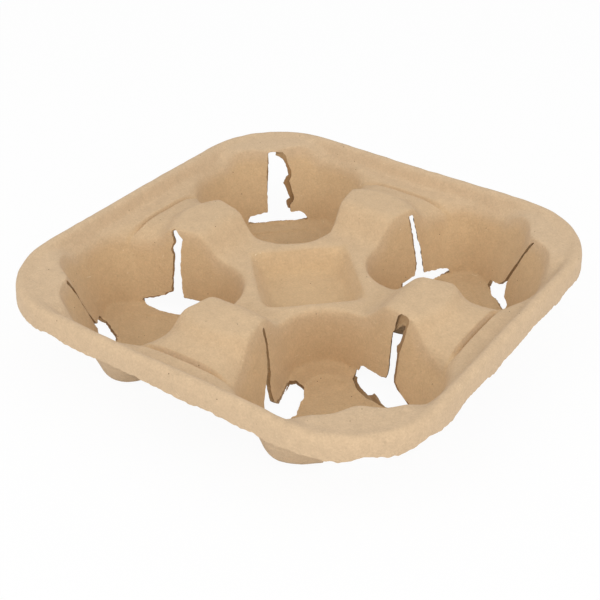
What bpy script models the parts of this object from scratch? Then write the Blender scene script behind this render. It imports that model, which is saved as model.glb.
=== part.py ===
"""Moulded pulp carrier for four cups.

The carrier is one thin moulded sheet: a rolled rim, four cup pockets, four humped bridges
between them and a square well in the middle. One quarter of its upper face is skinned between
outlines, mirrored across the two middle planes, thickened downward and then pierced by the
tee-shaped slits that let each pocket's wall give way to a cup.

Metres, +Z up. The origin is on the standing plane, under the middle of the carrier.
"""
import bpy
import bmesh
from math import atan2, cos, exp, hypot, pi, radians, sin
from mathutils import Matrix, Vector

# Overall sizes
overall_width = 0.215
overall_height = 0.044
sheet_thickness = 0.0018
weld_distance = 0.00002

# Rim: a crest that stands in from the skirt's edge, with the skirt turned down outside it
crest_inset = 0.0032
crest_corner_radius = 0.0422
crest_shoulder_run = 0.0020
crest_shoulder_drop = 0.0006
skirt_depth = 0.0104
crest_outer_run = 0.0020
crest_outer_drop = 0.0006
rim_slope_run = 0.0051
ledge_depth = 0.0075
ledge_width = 0.0012
ledge_rise = 0.0003

# Cup pockets, each side of an outline given by its setback from the pocket's square
pocket_gap = 0.0040
corner_setback = 0.0034
bridge_setback = 0.0112
ridge_setback = 0.0042
nose_reach = 0.0062
land_depth = 0.0020
brow_run = 0.0014
brow_drop = 0.0026
rim_brow_run = 0.0036
rim_brow_drop = 0.0068
rim_ledge_rise = 0.0018
slit_wall_setback = 0.0208
lobe_wall_setback = 0.0095
foot_radius = 0.0035
pad_width = 0.0084
pad_lobe_gap = 0.0075
pad_step_run = 0.0016
pad_height = 0.0012
floor_dish = 0.0003
floor_ring_width = 0.0052

# Bridges, from the well outward and from the rim inward, and their heights above the ground
ridge_width = 0.0053
ridge_height = 0.0313
ridge_end_run = 0.0060
hump_rise_run = 0.0138
hump_height = 0.0430
hump_step_run = 0.0055
hump_corner_run = 0.0052
terrace_height = 0.0385
terrace_end_height = 0.0367
terrace_run = 0.0091
riser_run = 0.0016
groove_height = 0.0336
groove_setback = 0.0088
shelf_run = 0.0076
ridge_edge_drop = 0.0004
terrace_edge_drop = 0.0042

# Square well in the middle, its corners on the carrier's axes
well_depth = 0.0112
well_edge_drop = 0.0006
well_wall_run = 0.0058
well_foot_run = 0.0026

# Slits: an upright cut in the wall above a bar cut along the wall's foot
outer_slit_width = 0.0070
bridge_slit_width = 0.0050
slit_reach = 0.0050
slit_top_skin = 0.0012
bar_end_gap = 0.0112
bar_setback = 0.0038
bar_depth = 0.0100
bar_top_height = 0.0080
cut_overrun = 0.0030

# Directions round a pocket are angles from the carrier's outer corner, the same to both sides
mouth_side_angle = radians(45.0)
mouth_bridge_angle = radians(121.8)
slit_angle = radians(112.0)
lobe_angle = radians(56.0)
nose_angle = radians(13.0)
land_start_angle = radians(24.0)
land_end_angle = radians(41.0)
rim_blend_angle = radians(14.0)

# Sizes worked out from those above
half_width = overall_width / 2
crest_line = half_width - crest_inset
ledge_line = crest_line - rim_slope_run
ledge_height = overall_height - ledge_depth
mouth_line = ledge_line - ledge_width
pocket_centre = (mouth_line + pocket_gap) / 2
pocket_reach = (mouth_line - pocket_gap) / 2
mouth_ridge_side = pocket_reach - ridge_setback
floor_slit_side = pocket_reach - slit_wall_setback
floor_lobe_side = pocket_reach - lobe_wall_setback
pad_edge_side = floor_slit_side - pad_width
pad_lobe_side = floor_lobe_side - pad_lobe_gap
well_side = hypot(pocket_centre, pocket_centre) - mouth_ridge_side - ridge_width
well_corner = hypot(well_side, well_side)
hump_foot = well_corner + ridge_end_run
hump_front = hump_foot + hump_rise_run
groove_distance = mouth_line - groove_setback
terrace_end = groove_distance - riser_run
terrace_start = terrace_end - terrace_run
hump_back = terrace_start - hump_step_run
bridge_end = groove_distance + shelf_run
bar_half_length = floor_slit_side - bar_end_gap
bar_inner_side = floor_slit_side - bar_setback
land_height = overall_height - land_depth
floor_height = sheet_thickness
crest_corner_centre = crest_line - crest_corner_radius

# Mesh counts and the shares that place its rows
bridge_columns = 4
rim_columns_to_corner = 7
rim_column_power = 1.3
ridge_columns = 3
well_columns = 6
wall_shares = (0.5, 1.0)
hump_slope_shares = (0.35, 0.65)
foot_arc_angles = (radians(45.0), radians(90.0))
mouth_sharpness = 16
floor_sharpness = 14
well_sharpness = 20
bridge_crown_power = 3


def smooth_step(value, start, end):
    """Rise from nought to one between start and end, level at both."""
    share = min(max((value - start) / (end - start), 0.0), 1.0)
    return share * share * (3 - 2 * share)


def level_step(value, start, end):
    """Rise from nought to one between start and end in a straight line."""
    return min(max((value - start) / (end - start), 0.0), 1.0)


def soft_polygon(angle, sides, sharpness):
    """Distance to a polygon with rounded corners, its sides given as (direction, distance)."""
    total = 0.0
    for direction, distance in sides:
        total += max(cos(angle - direction) / distance, 0.0) ** sharpness
    return total ** (-1 / sharpness)


def mirrored_sides(middle_sides, paired_sides):
    """Sides on the pocket's own axis, and sides that lie at the same angle to both sides of it."""
    sides = list(middle_sides)
    for direction, distance in paired_sides:
        sides.append((direction, distance))
        sides.append((-direction, distance))
    return sides


mouth_sides = mirrored_sides(
    [(0.0, pocket_reach - corner_setback), (pi, mouth_ridge_side)],
    [(mouth_side_angle, pocket_reach), (mouth_bridge_angle, pocket_reach - bridge_setback)])
floor_sides = mirrored_sides(
    [(0.0, floor_slit_side), (pi, floor_lobe_side)],
    [(lobe_angle, floor_lobe_side), (slit_angle, floor_slit_side)])
pad_sides = mirrored_sides(
    [(0.0, pad_edge_side), (pi, pad_lobe_side)],
    [(lobe_angle, pad_lobe_side), (slit_angle, pad_edge_side)])
well_sides = [(radians(45.0) + pi / 2 * corner, well_side) for corner in range(4)]


def mouth_radius(angle):
    """Pocket's mouth: a rounded outline with a nose that leans in at the outer corner."""
    nose = nose_reach * exp(-(angle / nose_angle) ** 2)
    return soft_polygon(angle, mouth_sides, mouth_sharpness) - nose


def foot_radius_at(angle):
    """Foot of the pocket's wall: flat where the slits are, bulging out between them."""
    return soft_polygon(angle, floor_sides, floor_sharpness)


def pad_radius(angle):
    """Edge of the low pads on the floor, in front of the slits."""
    return soft_polygon(angle, pad_sides, floor_sharpness)


def well_radius(angle):
    """Upper edge of the middle well, by direction from the carrier's middle."""
    return soft_polygon(angle, well_sides, well_sharpness)


def place(angle, radius, height):
    """Point of the quarter at +X +Y, from its direction and distance at the pocket's centre."""
    heading = pi / 4 - angle
    x = pocket_centre + radius * cos(heading)
    y = pocket_centre + radius * sin(heading)
    return Vector((x, y, height))


def bridge_height(distance, side_share):
    """Height of a bridge: ridge, hump, step, terrace, groove and shelf.

    The hump's step bulges outward in the middle, so it lies nearer on the bridge's edges.
    """
    step_shift = hump_corner_run * side_share ** 2
    step_start = hump_back - step_shift
    step_end = terrace_start - step_shift
    height = ridge_height
    height += (hump_height - ridge_height) * smooth_step(distance, hump_foot, hump_front)
    height -= (hump_height - terrace_height) * smooth_step(distance, step_start, step_end)
    height -= (terrace_height - terrace_end_height) * level_step(distance, step_end, terrace_end)
    height -= (terrace_end_height - groove_height) * level_step(
        distance, terrace_end, groove_distance)
    height += (ledge_height - groove_height) * level_step(distance, groove_distance, bridge_end)
    return height


def edge_drop(distance):
    """How far a bridge's rounded edge lies below its middle: little at the hump, then more."""
    drop = ridge_edge_drop
    drop += (terrace_edge_drop - ridge_edge_drop) * smooth_step(
        distance, hump_back - hump_corner_run, terrace_start)
    drop -= terrace_edge_drop * smooth_step(distance, terrace_end, bridge_end)
    return drop


def mouth_height(angle):
    """Height of the pocket's edge: along the bridges, the ridge, the ledge and the corner's land."""
    spot = place(angle, mouth_radius(angle), 0.0)
    distance = max(spot.x, spot.y)
    along_bridge = bridge_height(distance, 1.0) - edge_drop(distance)
    corner = 1 - smooth_step(abs(angle), land_start_angle, land_end_angle)
    along_rim = ledge_height + (land_height - ledge_height) * corner
    return along_rim if abs(angle) < mouth_side_angle else along_bridge


def angle_at_distance(distance):
    """Direction, from the pocket's centre, of the mouth where it is this far along the X bridge."""
    low = mouth_side_angle
    high = pi
    for _ in range(60):
        middle = (low + high) / 2
        if place(middle, mouth_radius(middle), 0.0).x > distance:
            low = middle
        else:
            high = middle
    return (low + high) / 2


rim_start_angle = angle_at_distance(bridge_end)


def rim_softness(angle):
    """One where the pocket's edge runs along the rim, nought at the bridges and the corner."""
    rise = smooth_step(abs(angle), land_start_angle, land_end_angle)
    fall = smooth_step(abs(angle), rim_start_angle - rim_blend_angle, rim_start_angle)
    return rise * (1 - fall)


def brow_run_at(angle):
    """How far in the pocket's edge bends down, more gently along the rim."""
    return brow_run + (rim_brow_run - brow_run) * rim_softness(angle)


def brow_drop_at(angle):
    """How far down the bend of the pocket's edge reaches."""
    return brow_drop + (rim_brow_drop - brow_drop) * rim_softness(angle)


def skin(mesh, rows, closed=False):
    """Lay four-sided faces between rows of points that have equal counts."""
    grid = [[mesh.verts.new(point) for point in row] for row in rows]
    count = len(rows[0])
    for inner, outer in zip(grid, grid[1:]):
        for index in range(count if closed else count - 1):
            following = (index + 1) % count
            mesh.faces.new((inner[index], inner[following], outer[following], outer[index]))
    return grid


def bridge_distances():
    """Rows across a bridge, from the well's corner out to the ledge, closer at each bend."""
    slope = [hump_foot + hump_rise_run * share for share in hump_slope_shares]
    step_start = hump_back - hump_corner_run
    step_end = terrace_start - hump_corner_run
    return (
        well_radius(0.0),
        hump_foot,
        *slope,
        hump_front,
        hump_back - hump_corner_run,
        (step_start + step_end) / 2,
        hump_back,
        (hump_back + terrace_start) / 2,
        terrace_start,
        terrace_end,
        groove_distance,
        groove_distance + riser_run,
        bridge_end)


def mouth_angles():
    """Directions of the mouth's points, from the ridge round the X bridge to the outer corner."""
    along_bridge = [angle_at_distance(distance) for distance in bridge_distances()]
    ridge_start = along_bridge[0]
    ridge = [pi + (ridge_start - pi) * step / ridge_columns for step in range(ridge_columns)]
    rim_start = along_bridge[-1]
    rim = [rim_start * (1 - step / rim_columns_to_corner) ** rim_column_power
           for step in range(1, rim_columns_to_corner + 1)]
    return ridge, along_bridge, rim


def pocket_rings(angles):
    """Rings down one pocket, from its mouth to the middle of its floor."""
    mouth = [(angle, mouth_radius(angle), mouth_height(angle)) for angle in angles]
    rings = [[place(angle, radius, height) for angle, radius, height in mouth]]
    brow = [(angle, radius - brow_run_at(angle), height - brow_drop_at(angle))
            for angle, radius, height in mouth]
    rings.append([place(angle, radius, height) for angle, radius, height in brow])
    for share in wall_shares:
        ring = []
        for angle, radius, height in brow:
            foot_height = floor_height + foot_radius
            level = height + (foot_height - height) * share
            ring.append(place(angle, radius + (foot_radius_at(angle) - radius) * share, level))
        rings.append(ring)
    for turn in foot_arc_angles:
        ring = []
        for angle in angles:
            radius = foot_radius_at(angle) - foot_radius * (1 - cos(turn))
            pad = pad_height * pad_share(angle)
            level = floor_height + pad + (foot_radius - pad) * (1 - sin(turn))
            ring.append(place(angle, radius, level))
        rings.append(ring)
    pad_outer = [place(angle, pad_radius(angle), floor_height + pad_height * pad_share(angle))
                 for angle in angles]
    dish_height = floor_height + floor_dish
    pad_inner = [place(angle, pad_radius(angle) - pad_step_run, dish_height) for angle in angles]
    middle_radius = pad_edge_side - pad_step_run - floor_ring_width
    middle = [place(angle, middle_radius, floor_height) for angle in angles]
    return rings + [pad_outer, pad_inner, middle]


def pad_share(angle):
    """One in front of a slit, where the floor is padded, and nought between the pads."""
    gap = foot_radius_at(angle) - foot_radius - pad_radius(angle)
    widest = floor_slit_side - foot_radius - pad_edge_side
    return smooth_step(gap, 0.0, widest)


def bridge_rows(first_row, angles):
    """Rows from a bridge's middle line out to the pocket's mouth, after the ridge's end row."""
    rows = [first_row]
    for distance, angle in zip(bridge_distances()[1:], angles[1:]):
        edge = place(angle, mouth_radius(angle), mouth_height(angle))
        row = []
        for column in range(bridge_columns + 1):
            share = column / bridge_columns
            crown = bridge_height(distance, share)
            crown -= edge_drop(distance) * share ** bridge_crown_power
            row.append(Vector((distance, edge.y * share, crown)))
        row[-1] = edge
        rows.append(row)
    return rows


def rim_profile(start_height, softness):
    """Rim's section as (distance outward from the crest line, height), from the ledge outward."""
    crease_height = start_height + ledge_rise + (rim_ledge_rise - ledge_rise) * softness
    shoulder_height = overall_height - crest_shoulder_drop
    slope_middle = (rim_slope_run + crest_shoulder_run) / 2
    return (
        (-rim_slope_run, crease_height),
        (-slope_middle, (crease_height + shoulder_height) / 2),
        (-crest_shoulder_run, shoulder_height),
        (0.0, overall_height),
        (crest_outer_run, overall_height - crest_outer_drop),
        (crest_inset, overall_height - skirt_depth))


def crest_spot(place_on_edge):
    """Point of the crest line nearest outward of a point on the pocket's edge, and its heading."""
    x = place_on_edge.x
    y = place_on_edge.y
    if y <= crest_corner_centre:
        return Vector((crest_line, y, 0.0)), Vector((1.0, 0.0, 0.0))
    if x <= crest_corner_centre:
        return Vector((x, crest_line, 0.0)), Vector((0.0, 1.0, 0.0))
    turn = atan2(y - crest_corner_centre, x - crest_corner_centre)
    heading = Vector((cos(turn), sin(turn), 0.0))
    corner = Vector((crest_corner_centre, crest_corner_centre, 0.0))
    return corner + heading * crest_corner_radius, heading


def rim_row(edge, softness=0.0):
    """One section of the rim, from a point on the pocket's edge out to the skirt's edge."""
    crest, heading = crest_spot(edge)
    row = [edge.copy()]
    for run, height in rim_profile(edge.z, softness):
        spot = crest + heading * run
        spot.z = height
        row.append(spot)
    return row


def well_heading(step):
    """Direction of the well's points in the quarter, from the X axis to the Y axis."""
    return pi / 2 * step / well_columns


def well_rings():
    """Rings down the middle well, from its upper edge to its floor."""
    edge_height = ridge_height - well_edge_drop
    floor_level = ridge_height - well_depth
    sections = (
        (0.0, edge_height),
        (well_foot_run / 2, edge_height - well_foot_run / 2),
        (well_wall_run - well_foot_run / 2, floor_level + well_foot_run),
        (well_wall_run + well_foot_run, floor_level))
    rings = []
    for run, height in sections:
        ring = []
        for step in range(well_columns + 1):
            heading = well_heading(step)
            radius = well_radius(heading) * (well_side - run) / well_side
            ring.append(Vector((radius * cos(heading), radius * sin(heading), height)))
        rings.append(ring)
    return rings


def ridge_rows(mouth_edge, well_edge):
    """Rows across the ridge between the well and a pocket."""
    rows = []
    for mouth_point, well_point in zip(mouth_edge, well_edge):
        row = []
        for column in range(bridge_columns + 1):
            share = column / bridge_columns
            spot = well_point.lerp(mouth_point, share)
            side_share = 2 * share - 1
            lower = mouth_point.z if side_share > 0 else well_point.z
            spot.z = ridge_height + (lower - ridge_height) * abs(side_share) ** bridge_crown_power
            row.append(spot)
        rows.append(row)
    return rows


def swap_axes(point):
    """Mirror a point across the quarter's own diagonal plane."""
    return Vector((point.y, point.x, point.z))


def skin_both_sides(mesh, rows):
    """Skin rows on the X side of the quarter and the same rows on its Y side."""
    skin(mesh, rows)
    skin(mesh, [[swap_axes(point) for point in row] for row in rows])


def flatten_to_axis(mesh):
    """Put the quarter's edge points exactly on the two middle planes."""
    for vertex in mesh.verts:
        if abs(vertex.co.x) < weld_distance:
            vertex.co.x = 0.0
        if abs(vertex.co.y) < weld_distance:
            vertex.co.y = 0.0


def make_quarter():
    """Upper face of the carrier's quarter at +X +Y."""
    ridge, along_bridge, rim = mouth_angles()
    x_side = ridge + along_bridge + rim
    y_side = [-angle for angle in reversed(x_side[1:-1])]
    mesh = bmesh.new()
    rings = pocket_rings(x_side + y_side)
    lofted = skin(mesh, rings, closed=True)
    mesh.faces.new(lofted[-1])
    well = well_rings()
    skin(mesh, well)
    floor_corner = Vector((0.0, 0.0, well[-1][0].z))
    floor_points = [mesh.verts.new(point) for point in well[-1] + [floor_corner]]
    mesh.faces.new(floor_points)
    well_edge = well[0][:well_columns // 2 + 1]
    inner_mouth = [place(angle, mouth_radius(angle), mouth_height(angle))
                   for angle in reversed(ridge + along_bridge[:1])]
    ridge_grid = ridge_rows(inner_mouth, well_edge)
    bridge = bridge_rows(ridge_grid[0], along_bridge)
    rim_rows = []
    for angle in along_bridge[-1:] + rim:
        edge = place(angle, mouth_radius(angle), mouth_height(angle))
        rim_rows.append(rim_row(edge, rim_softness(angle)))
    skin_both_sides(mesh, ridge_grid)
    skin_both_sides(mesh, bridge)
    skin_both_sides(mesh, [rim_row(edge) for edge in bridge[-1]])
    skin_both_sides(mesh, rim_rows)
    bmesh.ops.remove_doubles(mesh, verts=mesh.verts, dist=weld_distance)
    flatten_to_axis(mesh)
    bmesh.ops.recalc_face_normals(mesh, faces=mesh.faces)
    if sum(face.normal.z * face.calc_area() for face in mesh.faces) < 0:
        bmesh.ops.reverse_faces(mesh, faces=mesh.faces)
    return mesh


def new_object(name, mesh):
    """Turn a bmesh into an object in the scene."""
    data = bpy.data.meshes.new(name)
    mesh.to_mesh(data)
    mesh.free()
    made = bpy.data.objects.new(name, data)
    bpy.context.scene.collection.objects.link(made)
    return made


def pocket_frames():
    """Placement of each pocket, its own X axis pointing at the carrier's outer corner."""
    frames = []
    for quarter in range(4):
        turn = pi / 4 + pi / 2 * quarter
        reach = hypot(pocket_centre, pocket_centre)
        centre = Vector((reach * cos(turn), reach * sin(turn), 0.0))
        frames.append(Matrix.Translation(centre) @ Matrix.Rotation(turn, 4, "Z"))
    return frames


def add_prism(mesh, frame, outline, half_width_of_cut):
    """Closed prism: an outline of (distance, height) points, spread to both sides."""
    faces = []
    for side in (-1, 1):
        points = [frame @ Vector((distance, side * half_width_of_cut, height))
                  for distance, height in outline]
        faces.append([mesh.verts.new(point) for point in points])
    mesh.faces.new(faces[0])
    mesh.faces.new(list(reversed(faces[1])))
    count = len(outline)
    for index in range(count):
        following = (index + 1) % count
        mesh.faces.new((faces[0][index], faces[1][index],
                        faces[1][following], faces[0][following]))


def wall_distance(angle, height):
    """How far the wall's inner face stands from the pocket's centre at a height."""
    top_height = mouth_height(angle) - brow_drop_at(angle)
    top_radius = mouth_radius(angle) - brow_run_at(angle)
    foot_height = floor_height + foot_radius
    share = (height - foot_height) / (top_height - foot_height)
    return foot_radius_at(angle) + (top_radius - foot_radius_at(angle)) * share


def slit_outline(angle):
    """Side view of the upright cut, leaning with the wall and stopping at the mouth's edge."""
    start_height = bar_top_height - slit_top_skin
    start = wall_distance(angle, start_height)
    top = mouth_radius(angle)
    top_height = mouth_height(angle) - slit_top_skin
    under_land = mouth_height(angle) - sheet_thickness - slit_top_skin / 2
    return (
        (start - slit_reach, start_height),
        (start + slit_reach, start_height),
        (top + brow_run, under_land),
        (top - brow_run / 2, top_height),
        (top - slit_reach, top_height))


def bar_outline(angle):
    """Side view of the bar cut at the wall's foot, the same in every direction."""
    return (
        (bar_inner_side, -cut_overrun),
        (bar_inner_side + bar_depth, -cut_overrun),
        (bar_inner_side + bar_depth, bar_top_height),
        (bar_inner_side, bar_top_height))


def make_cutter(name, outline_of, half_width_of):
    """All twelve cuts of one kind, three to each pocket."""
    mesh = bmesh.new()
    for frame in pocket_frames():
        for angle in (0.0, slit_angle, -slit_angle):
            turned = frame @ Matrix.Rotation(angle, 4, "Z")
            add_prism(mesh, turned, outline_of(abs(angle)), half_width_of(abs(angle)))
    cutter = new_object(name, mesh)
    cutter.hide_render = True
    cutter.display_type = "WIRE"
    return cutter


def bar_half_width(angle):
    """Half the length of a bar cut along the wall's foot, the same in every direction."""
    return bar_half_length


def slit_half_width(angle):
    """Half the gap of an upright cut: wider at the outer corner than at the bridges."""
    return (outer_slit_width if angle == 0.0 else bridge_slit_width) / 2


def pulp_material():
    """Dry moulded pulp: pale brown, quite matt."""
    material = bpy.data.materials.new("moulded_pulp")
    material.use_nodes = True
    shader = material.node_tree.nodes["Principled BSDF"]
    shader.inputs["Base Color"].default_value = (0.58, 0.43, 0.27, 1.0)
    shader.inputs["Roughness"].default_value = 0.95
    shader.inputs["Metallic"].default_value = 0.0
    return material


def combine(target, other, operation):
    """Unite another solid with the target, or take it away, with an exact Boolean."""
    boolean = target.modifiers.new(operation.lower() + "_" + other.name, "BOOLEAN")
    boolean.operation = operation
    boolean.solver = "EXACT"
    boolean.object = other


def make_carrier():
    """The whole carrier, from its quarter to the pierced sheet."""
    carrier = new_object("cup_carrier", make_quarter())
    carrier.data.materials.append(pulp_material())
    carrier.data.shade_smooth()
    mirror = carrier.modifiers.new("four_quarters", "MIRROR")
    mirror.use_axis = (True, True, False)
    mirror.merge_threshold = weld_distance
    solidify = carrier.modifiers.new("sheet", "SOLIDIFY")
    solidify.thickness = sheet_thickness
    solidify.offset = -1.0
    solidify.use_even_offset = True
    tee_cutter = make_cutter("tee_cutter", bar_outline, bar_half_width)
    combine(tee_cutter, make_cutter("slit_cutter", slit_outline, slit_half_width), "UNION")
    combine(carrier, tee_cutter, "DIFFERENCE")
    return carrier


def main():
    """Clear the scene and build the carrier."""
    for old in list(bpy.data.objects):
        bpy.data.objects.remove(old, do_unlink=True)
    make_carrier()


main()
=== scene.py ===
# %% [markdown]
# # A moulded pulp carrier for cups
#
# The object is one thin sheet of recycled paper fibre, sucked onto a mesh mould and dried.
# It has a turned-down rim, a pocket at each corner, a humped bridge between each pair of
# pockets and a square well in the middle. Each pocket's wall is punched through in three
# places, and the punch has torn the fibre more than it has cut it.
#
# The lesson goes as the factory does: first the shape of the mould, then the uneven sheet on
# it, then the punched and torn openings, and last the fibre itself and the light.

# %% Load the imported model
import bpy
import bmesh
from math import atan2, cos, exp, pi, radians, sin
from mathutils import Matrix, Vector, noise


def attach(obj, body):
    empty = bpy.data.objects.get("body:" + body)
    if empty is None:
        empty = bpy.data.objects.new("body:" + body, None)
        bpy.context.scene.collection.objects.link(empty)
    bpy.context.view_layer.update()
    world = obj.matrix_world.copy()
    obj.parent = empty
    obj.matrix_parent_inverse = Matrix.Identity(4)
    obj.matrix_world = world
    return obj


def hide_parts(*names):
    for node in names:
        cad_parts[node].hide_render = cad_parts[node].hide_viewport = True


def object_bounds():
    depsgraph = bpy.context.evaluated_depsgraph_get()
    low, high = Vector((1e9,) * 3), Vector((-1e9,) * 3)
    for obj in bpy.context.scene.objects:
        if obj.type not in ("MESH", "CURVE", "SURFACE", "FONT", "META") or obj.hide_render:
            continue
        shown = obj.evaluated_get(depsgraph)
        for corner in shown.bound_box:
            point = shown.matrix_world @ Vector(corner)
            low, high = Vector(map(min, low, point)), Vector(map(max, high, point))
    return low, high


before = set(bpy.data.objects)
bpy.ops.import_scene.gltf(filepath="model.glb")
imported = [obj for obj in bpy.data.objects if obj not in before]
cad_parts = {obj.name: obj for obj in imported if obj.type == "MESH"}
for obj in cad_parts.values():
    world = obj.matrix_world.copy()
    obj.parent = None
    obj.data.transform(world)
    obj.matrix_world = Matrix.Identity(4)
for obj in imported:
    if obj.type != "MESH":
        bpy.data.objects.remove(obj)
cad_low, cad_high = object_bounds()
print("CAD box", [round(value, 4) for value in (*cad_low, *cad_high)])

# %% [markdown]
# ## The camera
#
# The carrier is looked at over its near corner, from about a third of the way up. A long lens
# close to the object keeps its straight rims nearly parallel. The camera could be pointed with
# a Track To constraint, but its small roll is easier to write down as a turned set of axes.

# %% Camera
camera_azimuth = radians(34.67)
camera_elevation = radians(34.06)
camera_roll = radians(0.53)
camera_distance = 0.52274
camera_target = Vector((0.0, 0.0, 0.01667))
sensor_width = 36.0
focal_length = 65.395
frame_shift_share = -0.0105


def place_camera():
    """Look at the carrier from the given angles, with a slight roll."""
    back = Vector((sin(camera_azimuth) * cos(camera_elevation),
                   -cos(camera_azimuth) * cos(camera_elevation),
                   sin(camera_elevation)))
    turned = Matrix.Rotation(camera_roll, 3, back) @ back.to_track_quat("Z", "Y").to_matrix()
    data = bpy.data.cameras.new("carrier_camera")
    data.sensor_width = sensor_width
    data.lens = focal_length
    data.shift_x = frame_shift_share
    data.clip_end = 10.0
    camera = bpy.data.objects.new("carrier_camera", data)
    camera.matrix_world = Matrix.Translation(camera_target + back * camera_distance) @ (
        turned.to_4x4())
    bpy.context.scene.collection.objects.link(camera)
    bpy.context.scene.camera = camera
    return camera


print("camera stands at", [round(value, 3) for value in place_camera().matrix_world.translation])

# %% [markdown]
# ## The mould's sizes
#
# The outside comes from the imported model's own box, and the rest from the mould: how far the
# crest stands in from the skirt, how deep the ledge inside it lies, how the bridges rise and
# fall. A modeller could also trace these by eye with a subdivided plane. Named sizes are used
# because each outline below is then a short sum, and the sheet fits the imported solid.

# %% Sizes of the rim
half_width = (cad_high.x - cad_low.x) / 2
rim_height = cad_high.z
sheet = 0.0018
crest_line = half_width - 0.0034
crest_corner_radius = 0.0422
corner_centre = crest_line - crest_corner_radius
ledge_line = crest_line - 0.0051
ledge_height = rim_height - 0.0075
skirt_depth = 0.0104
print("crest stands", round(half_width - crest_line, 4), "m inside the skirt's edge")

# %% Sizes of the pockets and the well
pocket_centre = 0.051
floor_height = sheet
foot_radius = 0.0035
pad_height = 0.0012
well_side = 0.0240
ridge_height = 0.0313
well_floor_height = 0.0201
nose_reach = 0.0062
nose_angle = radians(13.0)
land_height = rim_height - 0.0018

# %% [markdown]
# ## Outlines made of soft polygons
#
# Seen from above, a pocket's mouth and foot are polygons whose corners have been rounded by
# the mould maker. They could be drawn as curves, corner by corner. Here one formula gives the
# distance to such an outline in any direction: each side pulls with a high power of the cosine,
# and the nearest side wins softly, which rounds the corners by itself.

# %% Soft polygons
def soft_polygon(angle, sides, sharpness):
    """Distance to an outline with rounded corners, its sides given as (direction, distance)."""
    total = 0.0
    for direction, distance in sides:
        total += max(cos(angle - direction) / distance, 0.0) ** sharpness
    return total ** (-1 / sharpness)


def both_ways(middle_sides, paired_sides):
    """Sides on the pocket's own axis, and sides at the same angle to both sides of it."""
    return list(middle_sides) + [(sign * direction, distance)
                                 for direction, distance in paired_sides for sign in (1, -1)]


mouth_sides = both_ways([(0.0, 0.0463), (pi, 0.0449)],
                        [(radians(45.0), ledge_line + 0.0004 - pocket_centre),
                         (radians(121.8), 0.0364)])
foot_sides = both_ways([(0.0, 0.0262), (pi, 0.0395)],
                       [(radians(56.0), 0.0400), (radians(112.0), 0.0262)])
pad_sides = both_ways([(0.0, 0.0178), (pi, 0.0310)],
                      [(radians(56.0), 0.0315), (radians(112.0), 0.0178)])
well_sides = [(pi / 4 + pi / 2 * turn, well_side) for turn in range(4)]


def mouth_radius(angle):
    """Pocket's mouth: angle 0 points at the carrier's corner, where a nose leans in."""
    nose = nose_reach * exp(-(angle / nose_angle) ** 2)
    return soft_polygon(angle, mouth_sides, 5.5) - nose


def foot_at(angle):
    """Foot of the pocket's wall, flat at the punched places and bulging between them."""
    return soft_polygon(angle, foot_sides, 6.5)


def pad_at(angle):
    """Edge of the low pads that stand on the floor in front of the punched places."""
    return soft_polygon(angle, pad_sides, 7)


def spot(angle, radius, height):
    """Point of the quarter at +X +Y, from its direction and distance at the pocket's centre."""
    heading = pi / 4 - angle
    return Vector((pocket_centre + radius * cos(heading),
                   pocket_centre + radius * sin(heading), height))


print("mouth is", round(2 * mouth_radius(pi / 2), 4), "m across the pocket")

# %% [markdown]
# ## Heights along a bridge
#
# From the well outward a bridge starts as a low ridge, climbs to a hump, steps down to a
# terrace and runs on to the ledge inside the rim. A narrow groove crosses it where the terrace
# ends, and fades out toward the pockets. The groove could be cut with a thin bar, but a notch in
# the height keeps the sheet whole. One function of the distance from the middle holds all of it,
# so the bridge's own skin and the pocket's edge beside it can never disagree.

# %% Bridge profile
def ease(value, start, end):
    """Rise from nought to one between start and end, level at both."""
    share = min(max((value - start) / (end - start), 0.0), 1.0)
    return share * share * (3 - 2 * share)


def ramp(value, start, end):
    """Rise from nought to one between start and end in a straight line."""
    return min(max((value - start) / (end - start), 0.0), 1.0)


hump_foot, hump_front = 0.0400, 0.0538
hump_back, terrace_start = 0.0730, 0.0785
terrace_end, groove, groove_lip = 0.0877, 0.0890, 0.0904
bridge_end = 0.0968
hump_corner_run = 0.0052
hump_height = 0.0430
terrace_height, terrace_end_height, groove_depth = 0.0385, 0.0370, 0.0040
ridge_edge_drop, terrace_edge_drop = 0.0004, 0.0042
land_start, land_end = radians(26.0), radians(38.0)


def bridge_height(distance, side_share):
    """Height of a bridge: its sides step down first, and its groove fades toward them."""
    step_start = hump_back - hump_corner_run * side_share ** 2
    step_end = terrace_start - hump_corner_run * side_share ** 2
    height = ridge_height
    height += (hump_height - ridge_height) * ease(distance, hump_foot, hump_front)
    height -= (hump_height - terrace_height) * ease(distance, step_start, step_end)
    height -= (terrace_height - terrace_end_height) * ramp(distance, step_end, terrace_end)
    height += (ledge_height - terrace_end_height) * ramp(distance, terrace_end, bridge_end)
    notch = ramp(distance, terrace_end, groove) - ramp(distance, groove, groove_lip)
    return height - groove_depth * (1 - side_share ** 4) * notch


def edge_drop(distance):
    """How far a bridge's rounded edge lies below its middle line, most at the terrace."""
    fall = ease(distance, hump_back - hump_corner_run, terrace_start)
    drop = ridge_edge_drop + (terrace_edge_drop - ridge_edge_drop) * fall
    return drop - terrace_edge_drop * ease(distance, terrace_end, bridge_end)


def mouth_height(angle):
    """Height of the pocket's edge, along the bridges, the rim and the corner's flat land."""
    place = spot(angle, mouth_radius(angle), 0.0)
    distance = max(place.x, place.y)
    land = 1 - ease(abs(angle), land_start, land_end)
    if abs(angle) < pi / 4:
        return ledge_height + (land_height - ledge_height) * land
    return bridge_height(distance, 1.0) - edge_drop(distance)


print("hump stands", round(hump_height - ridge_height, 4), "m above the ridge")

# %% [markdown]
# ## Where the rows of faces go
#
# A subdivision surface is only as crisp as its cage. Rows lie close together where the form
# bends, at the step, the groove and the crest, and far apart where it is calm. Marking creases
# would also work, but close rows give each bend its own radius.

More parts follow.
